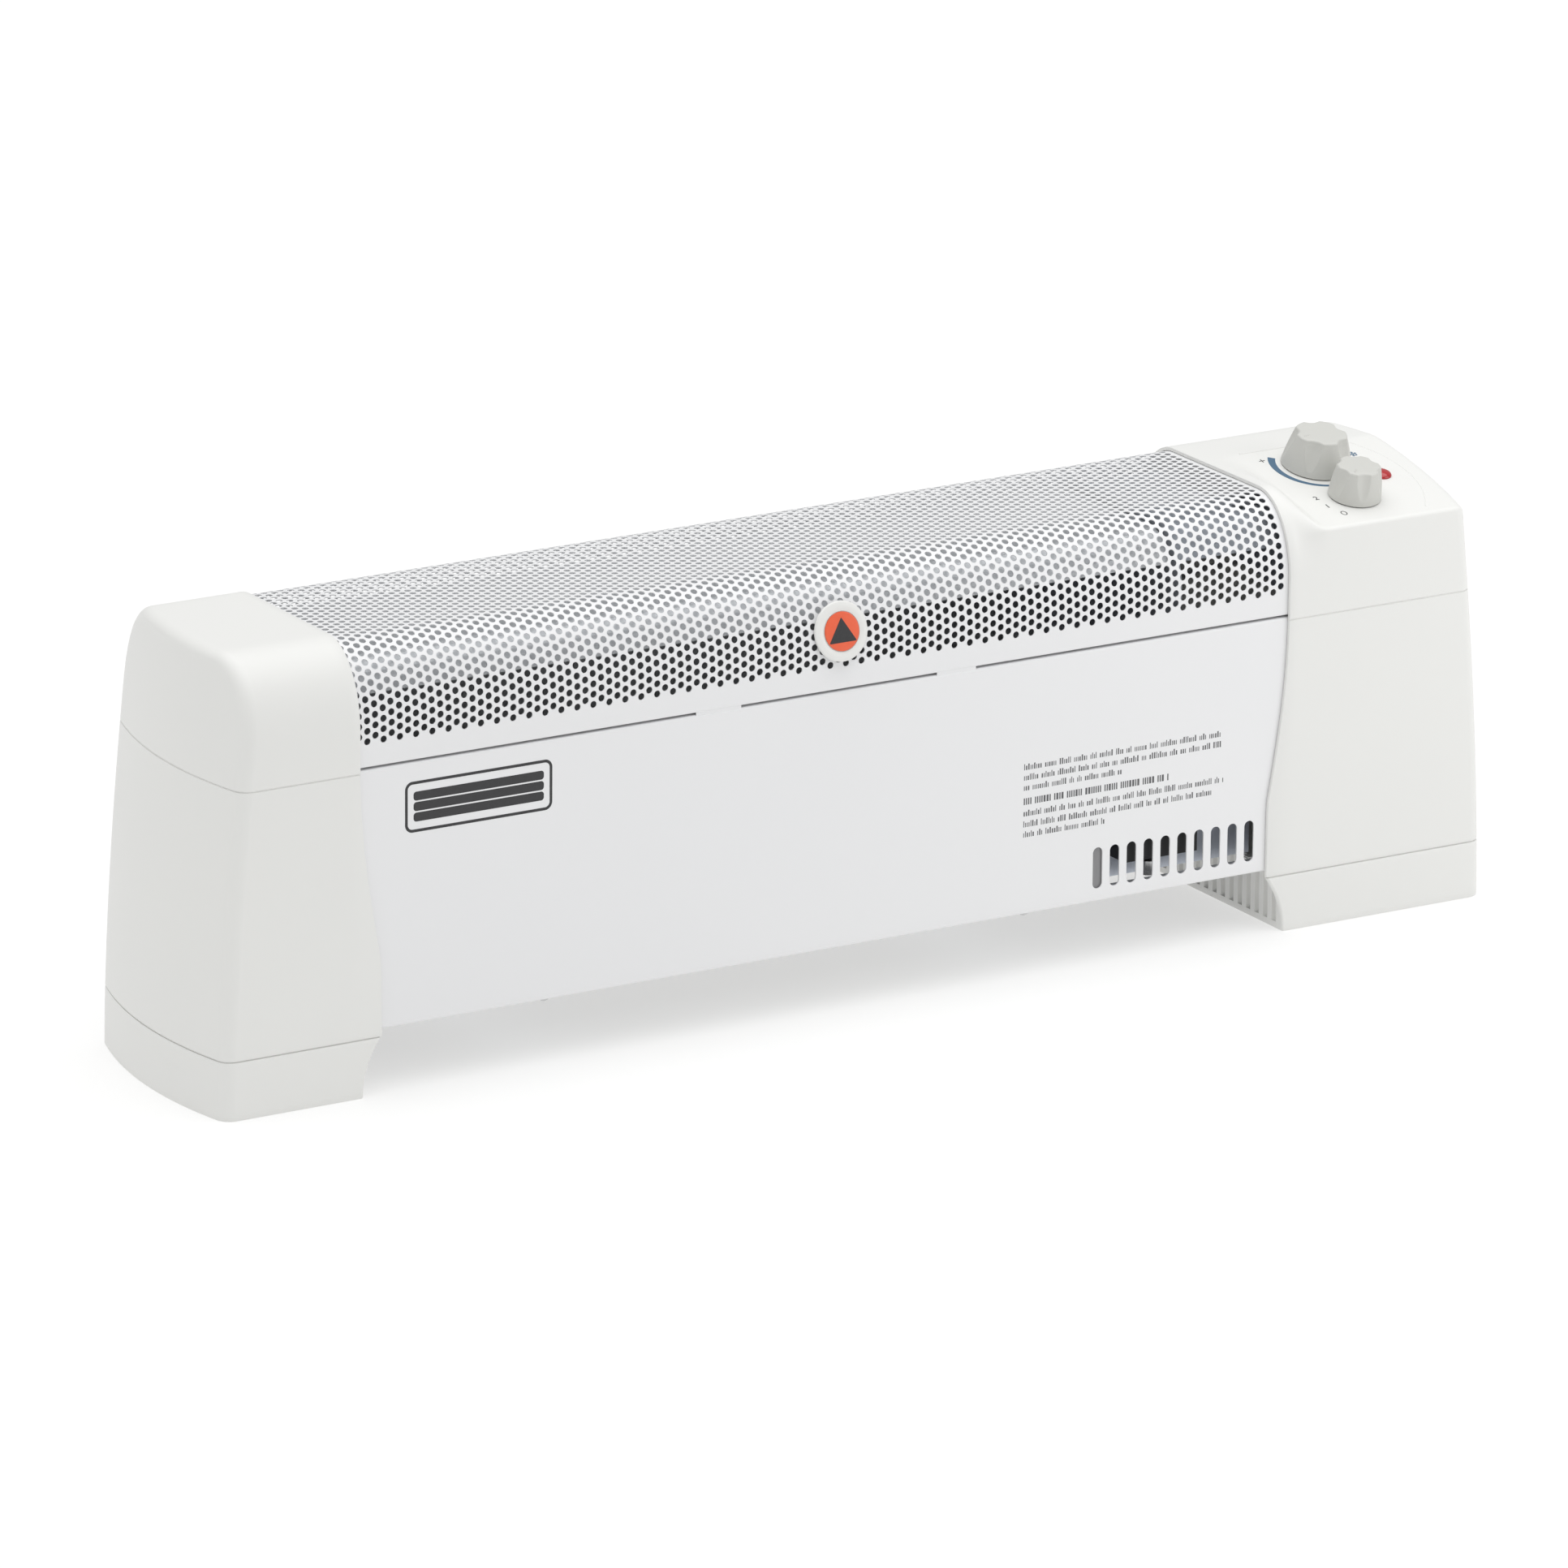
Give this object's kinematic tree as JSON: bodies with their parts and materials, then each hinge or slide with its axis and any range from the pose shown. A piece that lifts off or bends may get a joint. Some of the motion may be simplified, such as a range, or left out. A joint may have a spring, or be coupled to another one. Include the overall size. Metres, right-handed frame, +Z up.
{
  "type": "portable baseboard heater",
  "caption": "Low floor-standing electric convector heater: long white steel body with a perforated top, moulded end caps on feet, and rotary controls on a sloping panel.",
  "frame": {"origin": "on the floor, at the middle of the length and the depth", "axes": "+Z up, +X along the length towards the controls, -Y towards the front"},
  "size_m": [0.757, 0.1471, 0.2484],
  "materials": {
    "shell_plastic": "moulded warm white, fine satin texture",
    "painted_steel": "cool white powder coat, satin",
    "galvanised_steel": "galvanised, faint spangle",
    "element_aluminium": "rolled fins on a sheathed tube",
    "ceramic": "steatite, unglazed",
    "knob_plastic": "moulded warm grey, satin",
    "label_orange": "printed orange-red disc with a plain dark triangle",
    "lamp_red": "clear red, glossy",
    "black_plastic": "moulded black, satin",
    "plated_steel": "zinc plated",
    "wire_insulation": "heat-resistant sleeving"
  },
  "bodies": {
    "root": {"left_end_cap": "shell_plastic", "right_end_cap": "shell_plastic", "left_foot": "shell_plastic", "right_foot": "shell_plastic", "left_foot_screw_1": "plated_steel", "left_foot_screw_2": "plated_steel", "right_foot_screw_1": "plated_steel", "right_foot_screw_2": "plated_steel", "top_grille": "painted_steel", "front_panel": "painted_steel", "back_panel": "painted_steel", "left_cap_screw_1": "plated_steel", "left_cap_screw_2": "plated_steel", "right_cap_screw_1": "plated_steel", "right_cap_screw_2": "plated_steel", "bottom_brace_1": "galvanised_steel", "bottom_brace_2": "galvanised_steel", "brace_screw_1": "plated_steel", "brace_screw_2": "plated_steel", "brace_screw_3": "plated_steel", "brace_screw_4": "plated_steel", "cord_bush": "black_plastic", "badge_button": "shell_plastic", "badge_disc": "label_orange", "air_deflector": "galvanised_steel", "controls_shield": "galvanised_steel", "left_partition": "galvanised_steel", "right_partition": "galvanised_steel", "heating_element_a": "element_aluminium", "heating_element_b": "element_aluminium", "ceramic_bush_left_a": "ceramic", "ceramic_bush_left_b": "ceramic", "ceramic_bush_right_a": "ceramic", "ceramic_bush_right_b": "ceramic", "thermal_cutout": "ceramic", "thermal_fuse": "plated_steel", "thermostat_body": "black_plastic", "thermostat_nut": "plated_steel", "heat_switch_body": "black_plastic", "heat_switch_nut": "plated_steel", "control_bracket": "galvanised_steel", "lamp_lens": "lamp_red", "neon_lamp": "ceramic", "tip_switch_housing": "black_plastic", "tip_switch_pin": "plated_steel", "tip_switch_plate": "galvanised_steel", "terminal_block": "ceramic", "wire_supply": "wire_insulation", "wire_to_heat_switch": "wire_insulation", "wire_to_thermostat": "wire_insulation", "wire_to_cutout": "wire_insulation", "wire_to_elements": "wire_insulation"},
    "thermostat_dial": {"thermostat_knob": "knob_plastic", "thermostat_spindle": "plated_steel"},
    "heat_dial": {"heat_switch_knob": "knob_plastic", "heat_switch_spindle": "plated_steel"},
    "tip_pendulum": {"tip_switch_pendulum": "plated_steel"}
  },
  "joints": [
    {"name": "thermostat_turn", "type": "hinge", "parent": "root", "child": "thermostat_dial", "pos_m": [0.3054, -0.00826, 0.227], "axis": [0, -0.2149, 0.9766], "range_deg": [-36, 181]},
    {"name": "heat_switch_turn", "type": "hinge", "parent": "root", "child": "heat_dial", "pos_m": [0.3054, -0.0443, 0.21907], "axis": [0, -0.2149, 0.9766], "range_deg": [-54, 0]},
    {"name": "tip_switch_swing", "type": "hinge", "parent": "root", "child": "tip_pendulum", "pos_m": [0.177, -0.05295, 0.076], "axis": [0, 1, 0], "range_deg": [-20, 20]}
  ]
}
